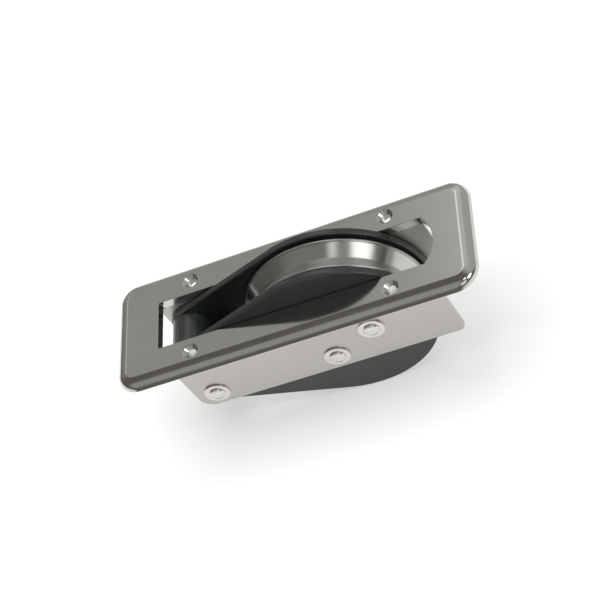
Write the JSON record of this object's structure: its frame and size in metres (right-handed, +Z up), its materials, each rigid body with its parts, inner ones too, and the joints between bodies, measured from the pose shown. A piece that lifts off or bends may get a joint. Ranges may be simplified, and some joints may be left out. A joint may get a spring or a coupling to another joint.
{
  "type": "through-deck sheave box",
  "caption": "Flush sheave box: rimmed steel flange plate with a slot, side plates under it, black teardrop cheeks and a wide grooved sheave on a fixed hub.",
  "frame": {"origin": "centre of the flange plate's underside, on the deck plane, in the middle of the deck cut-out", "axes": "+X along the slot towards the sheave's end, +Y across the slot, +Z up out of the deck"},
  "size_m": [0.2, 0.068, 0.1005],
  "materials": {
    "polished_steel": "polished stainless steel, fine grain",
    "satin_steel": "satin rolled stainless sheet",
    "turned_steel": "turned and polished round the axis",
    "bright_steel": "bright stainless fasteners",
    "black_alloy": "black anodised alloy, satin",
    "bearing_plastic": "natural acetal bearing plastic"
  },
  "bodies": {
    "housing": {"flange_plate": "polished_steel", "side_plate_front": "satin_steel", "side_plate_rear": "satin_steel", "weld_bead_front": "satin_steel", "weld_bead_rear": "satin_steel", "cheek_front": "black_alloy", "cheek_rear": "black_alloy", "end_spacer_upper": "black_alloy", "end_spacer_lower": "black_alloy", "hub": "satin_steel", "thrust_washer_front": "bearing_plastic", "thrust_washer_rear": "bearing_plastic", "bolt_end_upper": "bright_steel", "nut_end_upper": "bright_steel", "washer_end_upper_front": "bright_steel", "washer_end_upper_rear": "bright_steel", "bolt_end_lower": "bright_steel", "nut_end_lower": "bright_steel", "washer_end_lower_front": "bright_steel", "washer_end_lower_rear": "bright_steel", "bolt_hub_1": "bright_steel", "nut_hub_1": "bright_steel", "washer_hub_1_front": "bright_steel", "washer_hub_1_rear": "bright_steel", "bolt_hub_2": "bright_steel", "nut_hub_2": "bright_steel", "washer_hub_2_front": "bright_steel", "washer_hub_2_rear": "bright_steel", "bolt_hub_3": "bright_steel", "nut_hub_3": "bright_steel", "washer_hub_3_front": "bright_steel", "washer_hub_3_rear": "bright_steel"},
    "sheave_wheel": {"sheave": "turned_steel", "bearing_sleeve": "bearing_plastic"}
  },
  "joints": [
    {"name": "sheave_spin", "type": "hinge", "parent": "housing", "child": "sheave_wheel", "pos_m": [0.014, 0, -0.02785], "axis": [0, 1, 0], "continuous": true}
  ]
}
